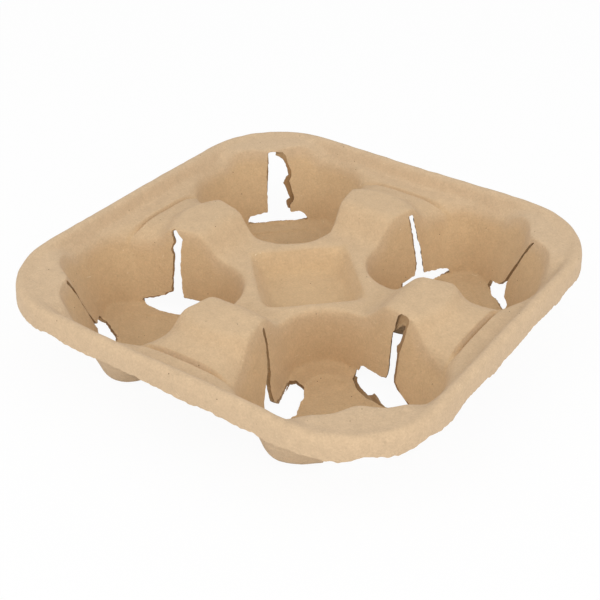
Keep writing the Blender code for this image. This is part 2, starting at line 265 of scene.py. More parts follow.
# %% Rows and columns
bridge_stops = (soft_polygon(0.0, well_sides, 20), 0.0368, hump_foot, 0.0435, 0.0470, 0.0505,
                hump_front, 0.0580, 0.0630, 0.0678, 0.0705, hump_back, 0.0757, terrace_start,
                0.0808, 0.0840, 0.0864, 0.0875, terrace_end, groove, groove_lip, 0.0909, 0.0935,
                bridge_end)
bridge_columns = 4
rim_columns = 11
ridge_columns = 4
well_columns = 8


def angle_at(distance):
    """Direction of the mouth's point that lies this far along the X bridge, by halving."""
    low, high = pi / 4, pi
    for _ in range(50):
        middle = (low + high) / 2
        if spot(middle, mouth_radius(middle), 0.0).x > distance:
            low = middle
        else:
            high = middle
    return (low + high) / 2


along_bridge = [angle_at(distance) for distance in bridge_stops]
around_ridge = [pi + (along_bridge[0] - pi) * step / ridge_columns
                for step in range(ridge_columns)]
along_rim = [along_bridge[-1] * (1 - step / rim_columns) ** 1.3
             for step in range(1, rim_columns + 1)]
print(len(around_ridge + along_bridge + along_rim), "points from the ridge to the corner")

# %% [markdown]
# ## Skinning the pocket
#
# A pocket is a stack of rings from its mouth to the middle of its floor. The same could be
# made by extruding and scaling an edge loop again and again; here each ring's radius comes from
# the outlines above. Below the wall a quarter round leads to the floor, and low pads
# stand in front of the punched places, as the mould's punches need them.

# %% A skin helper
def skin(mesh, rows, closed=False):
    """Lay four-sided faces between rows of points that have equal counts."""
    grid = [[mesh.verts.new(point) for point in row] for row in rows]
    count = len(rows[0])
    for inner, outer in zip(grid, grid[1:]):
        for index in range(count if closed else count - 1):
            following = (index + 1) % count
            mesh.faces.new((inner[index], inner[following], outer[following], outer[index]))
    return grid


# %% Rings of a pocket
brow_run, brow_drop = 0.0014, 0.0026
rim_brow_run, rim_brow_drop = 0.0036, 0.0068
soft_until, crisp_from = radians(84.0), radians(106.0)
wall_row_shares = (0.0, 0.12, 0.4, 0.7, 0.92, 1.0)
pad_shoulder, pad_slope, pad_toe = 0.0008, 0.0006, 0.0018
pad_toe_rise = 0.0003
floor_rings = (0.0085, 0.0035)


def softness(angle):
    """One where the pocket's edge runs along the rim, nought at the humps and the corner."""
    return ease(abs(angle), land_start, land_end) * (1 - ease(abs(angle), soft_until, crisp_from))


def brow_at(angle):
    """Run and drop of the bend at the pocket's edge, which is gentler along the rim."""
    soft = softness(angle)
    return (brow_run + (rim_brow_run - brow_run) * soft,
            brow_drop + (rim_brow_drop - brow_drop) * soft)


def pad_share(angle):
    """One in front of a punched place, nought between them."""
    gap = foot_at(angle) - foot_radius - pad_at(angle)
    return ease(gap, 0.0, 0.0262 - foot_radius - 0.0178)


def wall_ring(angle, share):
    """Point of the pocket's wall, from share 0 at the brow to share 1 at the foot."""
    run, drop = brow_at(angle)
    top = mouth_height(angle) - drop
    radius = mouth_radius(angle) - run
    low = floor_height + foot_radius
    return spot(angle, radius + (foot_at(angle) - radius) * share, top + (low - top) * share)


def foot_ring(angle, turn):
    """Point of the round between wall and floor, turn running from 0 to a quarter circle."""
    pad = pad_height * pad_share(angle)
    radius = foot_at(angle) - foot_radius * (1 - cos(turn))
    return spot(angle, radius, floor_height + pad + (foot_radius - pad) * (1 - sin(turn)))


def pocket_rings(angles):
    """All rings of one pocket, from the mouth down to the middle of the floor."""
    rings = []
    for run_share, drop_share in ((0.0, 0.0), (0.40, 0.22), (0.76, 0.58)):
        rings.append([spot(a, mouth_radius(a) - brow_at(a)[0] * run_share,
                           mouth_height(a) - brow_at(a)[1] * drop_share) for a in angles])
    for share in wall_row_shares:
        rings.append([wall_ring(a, share) for a in angles])
    for turn in (radians(30.0), radians(60.0), radians(90.0)):
        rings.append([foot_ring(a, turn) for a in angles])
    pad_level = [floor_height + pad_height * pad_share(a) for a in angles]
    for step in (pad_shoulder, 0.0):
        rings.append([spot(a, pad_at(a) + step, z) for a, z in zip(angles, pad_level)])
    for step, rise in ((pad_slope, pad_toe_rise), (pad_toe, pad_toe_rise * 2 / 3)):
        rings.append([spot(a, pad_at(a) - step, floor_height + rise) for a in angles])
    for radius in floor_rings:
        rings.append([spot(a, radius, floor_height) for a in angles])
    return rings


# %% [markdown]
# ## Skinning the bridge, the rim and the well
#
# The bridge runs from its middle line to the pocket's edge in a few columns whose height falls
# away with a high power, which keeps the top flat and rounds the edge. The rim takes each point
# of the pocket's edge out to the crest and down the skirt. The well is four sloping walls
# and a floor, with corners on the carrier's axes.

# %% Bridge rows
column_spread, edge_roundness = 0.8, 4


def bridge_rows(first_row):
    """Rows from a bridge's middle line out to the pocket's mouth."""
    rows = [first_row]
    for distance, angle in list(zip(bridge_stops, along_bridge))[1:]:
        edge = spot(angle, mouth_radius(angle), mouth_height(angle))
        row = []
        for column in range(bridge_columns):
            share = (column / bridge_columns) ** column_spread
            crown = bridge_height(distance, share) - edge_drop(distance) * share ** edge_roundness
            row.append(Vector((distance, edge.y * share, crown)))
        rows.append(row + [edge])
    return rows


# %% Rim sections
crease_rise, soft_crease_rise = 0.0003, 0.0015
lip_drop, crest_half = 0.0006, 0.0019
shoulder_run, shoulder_drop = 0.0028, 0.0026
skirt_runs = (0.0031, 0.0034)
skirt_end_band = 0.0010
slope_runs_and_shares = ((0.0051, 0.0), (0.0041, 0.30), (0.0030, 0.68), (crest_half, 1.0))
rim_fade = radians(14.0)


def crest_spot(edge):
    """Point of the crest line outward of a point on the pocket's edge, and the way out."""
    if edge.y <= corner_centre:
        return Vector((crest_line, edge.y, 0.0)), Vector((1.0, 0.0, 0.0))
    if edge.x <= corner_centre:
        return Vector((edge.x, crest_line, 0.0)), Vector((0.0, 1.0, 0.0))
    turn = atan2(edge.y - corner_centre, edge.x - corner_centre)
    out = Vector((cos(turn), sin(turn), 0.0))
    return Vector((corner_centre, corner_centre, 0.0)) + out * crest_corner_radius, out


def rim_soft(angle):
    """One where the rim's slope runs into a pocket, nought at the bridges and the corner."""
    return softness(angle) * (1 - ease(abs(angle), along_bridge[-1] - rim_fade, along_bridge[-1]))


def rim_row(edge, soft=0.0):
    """Rim's section from the pocket's edge over the crest and down the skirt."""
    crest, out = crest_spot(edge)
    crease = edge.z + crease_rise + soft_crease_rise * soft
    lip = rim_height - lip_drop
    skirt = rim_height - skirt_depth
    section = [(-run, crease + (lip - crease) * share) for run, share in slope_runs_and_shares]
    section += [(0.0, rim_height), (crest_half, lip), (shoulder_run, rim_height - shoulder_drop),
                (skirt_runs[0], (lip + skirt) / 2), (skirt_runs[1], skirt + skirt_end_band),
                (skirt_runs[1], skirt)]
    row = [edge.copy()]
    for run, height in section:
        point = crest + out * run
        point.z = height
        row.append(point)
    return row


# %% Ridge rows and well rings
ridge_roundness = 3
well_lip_drop = 0.0006
well_edge_sharpness = 20
well_slope = ((0.0, ridge_height - well_lip_drop), (0.0009, ridge_height - 0.0020),
              (0.0040, well_floor_height + 0.0045), (0.0062, well_floor_height + 0.0012),
              (0.0086, well_floor_height), (0.0140, well_floor_height - 0.0001))


def ridge_rows(mouth_edge, well_edge):
    """Rows across the narrow ridge between the well and a pocket."""
    rows = []
    for mouth_point, well_point in zip(mouth_edge, well_edge):
        row = []
        for column in range(bridge_columns + 1):
            share = column / bridge_columns
            point = well_point.lerp(mouth_point, share)
            lower = well_point.z if share < 0.5 else mouth_point.z
            drop = abs(2 * share - 1) ** ridge_roundness
            point.z = ridge_height + (lower - ridge_height) * drop
            row.append(point)
        rows.append(row)
    return rows


def well_rings():
    """Rings of the well from its upper edge to its floor."""
    rings = []
    for run, height in well_slope:
        ring = []
        for step in range(well_columns + 1):
            heading = pi / 2 * step / well_columns
            radius = soft_polygon(heading, well_sides, well_edge_sharpness)
            radius *= (well_side - run) / well_side
            ring.append(Vector((radius * cos(heading), radius * sin(heading), height)))
        rings.append(ring)
    return rings


# %% Join one quarter
join_distance = 0.00002


def swap_axes(point):
    """Mirror a point across the quarter's own diagonal."""
    return Vector((point.y, point.x, point.z))


def skin_both_sides(mesh, rows):
    """Skin rows beside the X axis and the same rows beside the Y axis."""
    skin(mesh, rows)
    skin(mesh, [[swap_axes(point) for point in row] for row in rows])


def make_quarter():
    """Cage of the upper face of one quarter of the carrier."""
    mesh = bmesh.new()
    x_side = around_ridge + along_bridge + along_rim
    around = x_side + [-angle for angle in reversed(x_side[1:-1])]
    mesh.faces.new(skin(mesh, pocket_rings(around), closed=True)[-1])
    well = well_rings()
    skin(mesh, well)
    middle = Vector((0.0, 0.0, well[-1][0].z))
    mesh.faces.new([mesh.verts.new(point) for point in well[-1] + [middle]])
    mouth_edge = [spot(a, mouth_radius(a), mouth_height(a))
                  for a in reversed(around_ridge + along_bridge[:1])]
    ridge = ridge_rows(mouth_edge, well[0][:well_columns // 2 + 1])
    bridge = bridge_rows(ridge[0])
    rim_rows = [rim_row(spot(a, mouth_radius(a), mouth_height(a)), rim_soft(a))
                for a in along_bridge[-1:] + along_rim]
    skin_both_sides(mesh, ridge)
    skin_both_sides(mesh, bridge)
    skin_both_sides(mesh, [rim_row(edge) for edge in bridge[-1]])
    skin_both_sides(mesh, rim_rows)
    bmesh.ops.remove_doubles(mesh, verts=mesh.verts, dist=join_distance)
    bmesh.ops.recalc_face_normals(mesh, faces=mesh.faces)
    if sum(face.normal.z * face.calc_area() for face in mesh.faces) < 0:
        bmesh.ops.reverse_faces(mesh, faces=mesh.faces)
    return mesh


quarter = make_quarter()
print("one quarter has", len(quarter.faces), "faces")

# %% [markdown]
# ## The whole upper face
#
# Two mirrors turn the quarter into the carrier, and a subdivision surface turns the cage into
# the smooth form of the mould. The modifiers are applied at once, because the next steps move
# single points of the finished surface.

# %% Mirror and smooth
def new_object(name, mesh):
    """Link a bmesh to the scene as an object."""
    data = bpy.data.meshes.new(name)
    mesh.to_mesh(data)
    mesh.free()
    made = bpy.data.objects.new(name, data)
    bpy.context.scene.collection.objects.link(made)
    return made


def settle(made):
    """Apply all of an object's modifiers."""
    graph = bpy.context.evaluated_depsgraph_get()
    done = bpy.data.meshes.new_from_object(made.evaluated_get(graph), depsgraph=graph)
    made.modifiers.clear()
    rough_data, made.data = made.data, done
    bpy.data.meshes.remove(rough_data)
    return made


carrier = new_object("pulp_carrier", quarter)
mirror = carrier.modifiers.new("four_quarters", "MIRROR")
mirror.use_axis = (True, True, False)
mirror.merge_threshold = 0.00005
smoothing = carrier.modifiers.new("mould_form", "SUBSURF")
smoothing.levels = 1
smoothing.render_levels = 1
smoothing.boundary_smooth = "ALL"
settle(carrier)
print("the mould's form has", len(carrier.data.polygons), "faces")

# %% [markdown]
# ## Thickness
#
# Solidify gives the sheet its real thickness below the mould face, so the upper face stays
# where the mould put it. Under a tight bend the inner face would fold over itself, and real
# pulp fills such bends, so the underside is then relaxed a few times. The free edge at the
# foot of the skirt gets small faces first, for its frayed line later.

# %% Solidify
deckle_cuts = 3
underside_passes, underside_relax = 6, 0.5


def split_free_edge(data):
    """Divide the edges along the open border of the sheet."""
    mesh = bmesh.new()
    mesh.from_mesh(data)
    border = [edge for edge in mesh.edges if edge.is_boundary]
    bmesh.ops.subdivide_edges(mesh, edges=border, cuts=deckle_cuts)
    mesh.to_mesh(data)
    mesh.free()
    return len(border)


def relax_underside(data, first_vertex):
    """Smooth the points of the underside, which come after those of the mould face."""
    mesh = bmesh.new()
    mesh.from_mesh(data)
    below = [vertex for vertex in mesh.verts if vertex.index >= first_vertex]
    for _ in range(underside_passes):
        bmesh.ops.smooth_vert(mesh, verts=below, factor=underside_relax,
                              use_axis_x=True, use_axis_y=True, use_axis_z=True)
    mesh.to_mesh(data)
    mesh.free()


split_free_edge(carrier.data)
mould_face_points = len(carrier.data.vertices)
thickness = carrier.modifiers.new("sheet", "SOLIDIFY")
thickness.thickness = sheet
thickness.offset = -1.0
thickness.use_even_offset = True
settle(carrier)
relax_underside(carrier.data, mould_face_points)
print("the sheet has", len(carrier.data.polygons), "faces on both sides")

# %% [markdown]
# ## An uneven sheet
#
# Wet pulp dries crooked: the rim waves, the walls bow and the surface is never quite flat. A
# Displace modifier with a noise texture would do this too. Moving the points in a loop keeps the
# amounts readable: a slow wander for the whole sheet, and two fine layers across the surface.
# The noise starts from a fixed seed, because it would otherwise bend each run's sheet anew.

# %% Warp the surface
warp_seed = 11
noise.seed_set(warp_seed)
slow_size, slow_amount = 0.060, 0.0008
slow_offset = Vector((3.1, 0.4, 7.7))
rise_share, calm_height = 0.6, 0.010
lump_size, lump_amount = 0.0075, 0.00022
grain_size, grain_amount = 0.0026, 0.00012


def wander(mesh):
    """Move every point a little, smoothly over the sheet and finely across it."""
    normals = [vertex.normal.copy() for vertex in mesh.vertices]
    for vertex, normal in zip(mesh.vertices, normals):
        place = vertex.co.copy()
        slow = noise.noise_vector(place / slow_size + slow_offset)
        slow.z *= rise_share * ease(place.z, floor_height, floor_height + calm_height)
        fine = lump_amount * noise.noise(place / lump_size)
        fine += grain_amount * noise.noise(place / grain_size)
        vertex.co = place + slow * slow_amount + normal * fine


wander(carrier.data)
print("slow wander of", slow_amount, "m over", slow_size, "m")

# %% [markdown]
# ## The deckle edge
#
# Where the sheet ends, at the foot of the skirt, pulp is left as it drained: a soft ragged edge
# with lumps and nicks. A trim with a noisy cutter would be too crisp, so the lowest points of
# the skirt are moved instead: the lowest most, and those above them less and less.

# %% Fray the skirt's edge
deckle_wave, deckle_nick = 0.0011, 0.0008
deckle_wave_size, deckle_nick_size = 0.011, 0.0022
deckle_nick_offset = Vector((5.0, 0.0, 0.0))
deckle_band, corner_shortfall = 0.0035, 0.0174
edge_lump_width = 0.0060
edge_lumps = ((0.98, -0.17, 0.0014), (1.0, -0.36, -0.0014), (1.0, -0.49, 0.0022),
              (1.0, -0.66, -0.0012), (0.86, -0.86, -0.0020), (-0.55, -1.0, -0.0009),
              (0.15, -1.0, 0.0010), (-0.15, -1.0, -0.0008), (1.0, 0.20, -0.0010),
              (1.0, 0.42, 0.0009), (-1.0, 0.3, 0.0012), (0.35, 1.0, -0.0012))


def fray(mesh):
    """Pull the skirt's edge down and up in waves, nicks and a few lumps."""
    skirt_end = rim_height - skirt_depth
    for vertex in mesh.vertices:
        place = vertex.co.copy()
        flat = Vector((place.x, place.y))
        away = max(abs(place.x), abs(place.y), flat.length / 2 ** 0.5 + corner_shortfall)
        if away < crest_line - sheet or place.z > skirt_end + deckle_band:
            continue
        near_edge = 1 - ease(place.z, skirt_end, skirt_end + deckle_band)
        drop = deckle_wave * noise.noise(place / deckle_wave_size)
        drop += deckle_nick * noise.noise(place / deckle_nick_size + deckle_nick_offset)
        for x_share, y_share, amount in edge_lumps:
            gap = (flat - half_width * Vector((x_share, y_share))).length
            drop += amount * exp(-(gap / edge_lump_width) ** 2)
        vertex.co.z -= drop * near_edge


def keep_inside(mesh):
    """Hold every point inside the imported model's box."""
    for vertex in mesh.vertices:
        for axis in range(3):
            vertex.co[axis] = min(max(vertex.co[axis], cad_low[axis]), cad_high[axis])


fray(carrier.data)
keep_inside(carrier.data)
print("frayed the skirt by up to", deckle_wave + deckle_nick, "m")

# %% [markdown]
# ## Punched and torn openings
#
# Each pocket has three openings: an upright slit in the wall over a bar along its foot. The
# punch leaves ragged edges, and each one tears in its own way. A clean cutter with a noisy
# modifier would look the same everywhere, so every opening has its own outline: a few corner
# points as shares of the bar's half length and of the rim's height, which a helper then breaks
# into short uneven steps. Beside the hole the top layer of fibre comes away too, so a second,
# shallow cutter with an outline of its own leaves a thin torn ledge. All cutters are united
# first and taken away in one go, because thin slivers between single cuts spoil the mesh.

# %% Outlines of the wall openings, as (sideways share, height share)
bar_half = 0.0148
tall_tear_shares = (
    (1.03, .105), (1.03, .155), (.96, .185), (.65, .205), (.35, .216), (.20, .222), (.24, .305),
    (.24, .367), (.16, .45), (.15, .547), (.15, .668), (.15, .777), (.08, .815), (.05, .895),
    (-.13, .885), (-.30, .862), (-.45, .81), (-.54, .755), (-.58, .676), (-.60, .627),
    (-.44, .57), (-.40, .54), (-.47, .484), (-.55, .408), (-.60, .358), (-.48, .324),
    (-.48, .262), (-.52, .224), (-.64, .205), (-.95, .205), (-1.10, .175), (-1.21, .13),
    (-1.21, .105))
tall_ledge_shares = (
    (.28, .19), (.27, .306), (.26, .489), (.23, .67), (.19, .826), (.15, .93), (.03, .952),
    (-.12, .94), (-.41, .915), (-.56, .857), (-.67, .77), (-.71, .685), (-.68, .613),
    (-.60, .566), (-.69, .466), (-.75, .366), (-.71, .318), (-.58, .285), (-.58, .19))
flap_tear_shares = (
    (1.32, .105), (1.32, .166), (1.24, .192), (1.09, .199), (.74, .212), (.35, .233),
    (.12, .262), (.08, .312), (.11, .374), (.20, .471), (.28, .567), (.36, .663), (.39, .74),
    (.22, .80), (.10, .86), (-.05, .872), (-.07, .817), (-.05, .759), (-.05, .683),
    (-.04, .65), (.06, .609), (.02, .575), (-.03, .569), (-.09, .504), (-.16, .404),
    (-.20, .321), (-.24, .285), (-.45, .248), (-.78, .225), (-1.05, .204), (-1.20, .195),
    (-1.20, .105))
flap_ledge_shares = (
    (1.37, .095), (1.37, .178), (1.26, .206), (1.10, .213), (.76, .227), (.37, .248),
    (.17, .275), (.13, .312), (.16, .374), (.25, .471), (.33, .567), (.41, .663), (.44, .74),
    (.40, .80), (.44, .855), (.44, .925), (.30, .958), (-.08, .958), (-.13, .92), (-.11, .87),
    (-.12, .76), (-.11, .683), (-.09, .60), (-.15, .504), (-.22, .404), (-.26, .321),
    (-.30, .300), (-.50, .264), (-.80, .240), (-1.05, .219), (-1.25, .208), (-1.25, .095))
leaning_tear_shares = (
    (.81, .105), (.81, .136), (.68, .25), (.26, .373), (-.14, .486), (-.38, .58), (-.52, .72),
    (-.57, .895), (-.66, .895), (-.615, .705), (-.48, .557), (-.345, .44), (-.095, .368),
    (.01, .168), (-.135, .118), (-.135, .105))
narrow_tear_shares = (
    (1.05, .105), (1.01, .127), (.48, .173), (.03, .25), (.02, .36), (.01, .50), (-.01, .66),
    (.08, .72), (-.02, .80), (.10, .92), (-.03, .945), (-.26, .86), (-.21, .71), (-.22, .51),
    (-.29, .295), (-.36, .195),
    (-.95, .173), (-1.01, .105))
closed_tear_shares = (
    (.81, .105), (.81, .148), (-.34, .17), (-.16, .42), (.035, .69), (.22, .915), (.16, .915),
    (-.035, .69), (-.235, .42), (-.54, .18), (-1.11, .148), (-1.20, .105))
bent_tear_shares = (
    (1.11, .105), (1.11, .16), (.54, .227), (.31, .33), (.17, .50), (-.014, .685),
    (-.16, .873), (-.23, .91), (-.28, .91), (-.23, .873), (-.10, .685), (.02, .50), (.11, .33),
    (-.135, .205), (-.51, .18), (-.51, .105))
wide_bar_tear_shares = (
    (.64, .105), (.63, .148), (.06, .195), (-.04, .307), (-.02, .486), (.02, .725),
    (.07, .886), (-.095, .89), (-.14, .71), (-.27, .464), (-.29, .284), (-.30, .19),
    (-.95, .17), (-1.35, .148), (-1.385, .105))
even_tear_shares = (
    (1.0, .105), (.99, .168), (.15, .186), (.11, .455), (.12, .885), (-.12, .886),
    (-.135, .455), (-.175, .186), (-.97, .173), (-1.0, .105))

# %% Outlines of the floor openings, as (outward share of the foot's distance, sideways share)
foot_side = 0.0262
tall_floor_shares = (
    (1.30, 1.03), (1.05, 1.02), (.985, .82), (.97, .39), (1.0, .0), (.985, -.42), (.97, -.69),
    (.985, -.97), (1.03, -1.18), (1.30, -1.21))
flap_floor_shares = (
    (1.30, 1.32), (1.05, 1.46), (.93, 1.27), (.886, 1.14), (.844, .84), (.84, .62), (.838, .45),
    (.896, .39), (.96, .42), (.95, .22), (.903, -.06), (.90, -.27), (.968, -.51),
    (1.05, -.80), (1.10, -1.18), (1.30, -1.20))
flap_floor_ledge_shares = (
    (1.28, 1.40), (1.06, 1.56), (.928, 1.39), (.837, 1.28), (.73, .78), (.735, .31),
    (.814, -.13), (.855, -.33), (.93, -.60), (1.02, -.90), (1.07, -1.24), (1.28, -1.25))
leaning_floor_shares = (
    (1.30, .81), (.95, .72), (.75, .46), (.655, .03), (.655, -.53), (.62, -.85), (.675, -1.24),
    (.84, -1.46), (.94, -1.35), (.965, -.95), (.985, -.35), (1.05, -.135), (1.30, -.135))
narrow_floor_shares = (
    (1.30, 1.05), (1.0, 1.02), (.93, .84), (.85, .41), (.795, .03), (.79, -.31), (.84, -.60),
    (.90, -.95), (1.30, -1.01))
closed_floor_shares = (
    (1.30, .81), (.95, .78), (.80, .35), (.755, .0), (.745, -.15), (.75, -.39), (.835, -.82),
    (.91, -1.20), (1.30, -1.20))
bent_floor_shares = (
    (1.30, 1.11), (1.0, 1.11), (.93, .51), (.97, .24), (.99, -.39), (1.03, -.51), (1.30, -.51))
wide_bar_floor_shares = (
    (1.30, .64), (1.0, .63), (.92, .29), (.93, -.20), (.97, -.90), (1.02, -1.35),
    (1.30, -1.385))
even_floor_shares = (
    (1.30, 1.0), (.90, .98), (.87, .40), (.875, -.30), (.90, -.97), (1.30, -1.0))
short_tear_shares = (
    (1.0, .105), (.99, .168), (.15, .186), (.11, .455), (.12, .885), (-.12, .886),
    (-.135, .455), (-.175, .186), (-.70, .173), (-.72, .105))
short_floor_shares = (
    (1.30, 1.0), (.90, .98), (.87, .40), (.875, -.30), (.92, -.66), (1.30, -.72))

# %% Which opening goes where: (quarter turns, heading, wall, floor, roughness, slant)
corner_heading, left_heading, right_heading = 0.0, radians(112.0), radians(-112.0)
coarse, medium, fine_tear = 0.00048, 0.00034, 0.00024
openings = (
    (1, corner_heading, tall_tear_shares, tall_floor_shares, medium, 0.0),
    (3, left_heading, flap_tear_shares, flap_floor_shares, fine_tear, 1.4),
    (3, right_heading, leaning_tear_shares, leaning_floor_shares, medium, 0.0),
    (2, right_heading, narrow_tear_shares, narrow_floor_shares, medium, 0.2),
    (2, corner_heading, closed_tear_shares, closed_floor_shares, medium, 0.0),
    (0, corner_heading, bent_tear_shares, bent_floor_shares, medium, 0.0),
    (0, left_heading, wide_bar_tear_shares, wide_bar_floor_shares, coarse, -0.5),
    (0, right_heading, even_tear_shares, even_floor_shares, medium, 0.0),
    (1, left_heading, even_tear_shares, even_floor_shares, coarse, 0.0),
    (1, right_heading, narrow_tear_shares, narrow_floor_shares, coarse, 0.0),
    (2, left_heading, even_tear_shares, even_floor_shares, coarse, 0.0),
    (3, corner_heading, short_tear_shares, short_floor_shares, medium, 0.0))
own_ledges = {tall_tear_shares: tall_ledge_shares, flap_tear_shares: flap_ledge_shares,
              flap_floor_shares: flap_floor_ledge_shares}

# %% Ragged outlines
tear_step = 0.0007
bite_size, fibre_size = 0.0021, 0.0008
fibre_share, seed_gap = 0.6, 0.013


def ragged(points, rough, seed):
    """Break an outline into short steps and pull each step in or out."""
    torn = []
    count = len(points)
    for index, start in enumerate(points):
        end = points[(index + 1) % count]
        along = end - start
        side = Vector((-along.y, along.x)).normalized()
        steps = max(1, round(along.length / tear_step))
        for step in range(steps):
            place = start + along * (step / steps)
            key = Vector((place.x, place.y, seed * seed_gap))
            pull = noise.noise(key / bite_size) + fibre_share * noise.noise(key / fibre_size)
            torn.append(place + side * pull * rough)
    return torn


def wall_reach(heading, height):
    """How far the wall's inner face stands from the pocket's centre at a height."""
    run, drop = brow_at(heading)
    top = mouth_height(heading) - drop
    low = floor_height + foot_radius
    radius = mouth_radius(heading) - run
    return radius + (foot_at(heading) - radius) * (top - height) / (top - low)


# %% Build the cutters
cut_in, cut_out_low, cut_out_high, cut_out_nose = 0.0055, 0.0058, 0.0032, 0.0050
floor_cut_bottom, floor_cut_top = -0.0020, 0.0056
ledge_depth, nose_ledge_depth = 0.0007, 0.0020
floor_ledge_level, floor_ledge_top, ledge_cut_in = 0.0020, 0.0053, 0.0051
ledge_seed = 40
ledge_shifts = (Vector((0.0008, 0.0004)), Vector((-0.0007, 0.0005)), Vector((0.0004, -0.0005)))


def prism(mesh, frame_of_cut, near, far):
    """Close two matching loops of points into a solid, its faces looking outward."""
    loops = [[mesh.verts.new(frame_of_cut @ point) for point in loop] for loop in (near, far)]
    mesh.faces.new(list(reversed(loops[0])))
    mesh.faces.new(loops[1])
    count = len(near)
    for index in range(count):
        following = (index + 1) % count
        mesh.faces.new((loops[0][index], loops[0][following], loops[1][following],
                        loops[1][index]))


def pocket_frame(turns, heading):
    """Axes at a pocket's floor, X pointing at the wall that is opened."""
    turn = pi / 4 + pi / 2 * turns
    centre = Vector((cos(turn), sin(turn), 0.0)) * pocket_centre * 2 ** 0.5
    return Matrix.Translation(centre) @ Matrix.Rotation(turn + heading, 4, "Z")


def outline_for(shares, scale, rough, seed, ledge):
    """Torn outline of an opening, or of the wider ledge round it."""
    moved = ledge and shares not in own_ledges
    shift = ledge_shifts[seed % 3] if moved else Vector((0.0, 0.0))
    shares = own_ledges.get(shares, shares) if ledge else shares
    points = [Vector((first * scale[0], second * scale[1])) + shift for first, second in shares]
    return ragged(points, rough, seed + (ledge_seed if ledge else 0))


def wall_cutter(mesh, opening, seed, ledge):
    """Cutter for the slit and the upper part of its bar, leaning with the wall."""
    turns, heading, shares, _, rough, slant = opening
    reach_in = ledge_cut_in if ledge else cut_in
    high = cut_out_nose if heading == corner_heading else cut_out_high
    shallow = nose_ledge_depth if heading == corner_heading else ledge_depth
    near, far = [], []
    for place in outline_for(shares, (bar_half, rim_height), rough, seed, ledge):
        reach = wall_reach(abs(heading), place.y)
        out = cut_out_low + (high - cut_out_low) * place.y / rim_height
        out = shallow if ledge else out
        near.append(Vector((reach - reach_in, place.x - slant * reach_in, place.y)))
        far.append(Vector((reach + out, place.x + slant * out, place.y)))
    prism(mesh, pocket_frame(turns, heading), near, far)


def floor_cutter(mesh, opening, seed, ledge):
    """Cutter for the part of the opening that lies in the floor and the round above it."""
    turns, heading, _, shares, rough, _ = opening
    torn = outline_for(shares, (foot_side, bar_half), rough, seed, ledge)
    bottom = floor_ledge_level if ledge else floor_cut_bottom
    top = floor_ledge_top if ledge else floor_cut_top
    near = [Vector((place.x, place.y, bottom)) for place in torn]
    far = [Vector((place.x, place.y, top)) for place in torn]
    prism(mesh, pocket_frame(turns, heading), near, far)


def make_cutter(name, build, ledge):
    """All twelve cutters of one kind as one object."""
    mesh = bmesh.new()
    for seed, opening in enumerate(openings):
        build(mesh, opening, seed, ledge)
    return new_object(name, mesh)


cutters = [make_cutter("wall_cuts", wall_cutter, False),
           make_cutter("floor_cuts", floor_cutter, False),
           make_cutter("wall_ledges", wall_cutter, True),
           make_cutter("floor_ledges", floor_cutter, True)]
print("cutters have", sum(len(cutter.data.polygons) for cutter in cutters), "faces")

# %% [markdown]
# ## The pulp
#
# Recycled pulp is a felt of short fibres: a warm grey-brown with slow clouds of lighter and
# darker stock, a fine hairy grain, dark specks of ink and bark, and a few pale flecks. Light and
# shade are painted into the colour as well: rims and outsides are painted pale, as if lit, and the
# insides take a warmer, darker painted shade. An image of cardboard would repeat and would have
# to be unwrapped. Noise in the object's own coordinates covers the bent sheet evenly, and a value
# stored on each point says how much painted light or painted shade the sheet takes there.

# %% Node helpers
def node(tree, kind, inputs=None, **settings):
    """Add a node, set its properties and fill or link its inputs."""
    made = tree.nodes.new(kind)
    for key, value in settings.items():
        setattr(made, key, value)
    for key, value in (inputs or {}).items():
        if isinstance(value, bpy.types.NodeSocket):
            tree.links.new(value, made.inputs[key])
        else:
            made.inputs[key].default_value = value
    return made


def cloud(tree, where, scale, detail):
    """Noise of a given scale in the object's coordinates."""
    return node(tree, "ShaderNodeTexNoise",
                {"Vector": where, "Scale": scale, "Detail": detail, "Roughness": 0.6})


def blend_colour(tree, amount, first, second):
    """Mix two colours, each a socket or a value."""
    mix = node(tree, "ShaderNodeMix", data_type="RGBA")
    for key, value in ((0, amount), (6, first), (7, second)):
        if isinstance(value, bpy.types.NodeSocket):
            tree.links.new(value, mix.inputs[key])
        else:
            mix.inputs[key].default_value = value
    return mix.outputs[2]


def between(tree, value, low, high):
    """Stretch the part of a value from low to high over nought to one."""
    return node(tree, "ShaderNodeMapRange", {"Value": value, "From Min": low, "From Max": high},
                interpolation_type="SMOOTHSTEP").outputs["Result"]


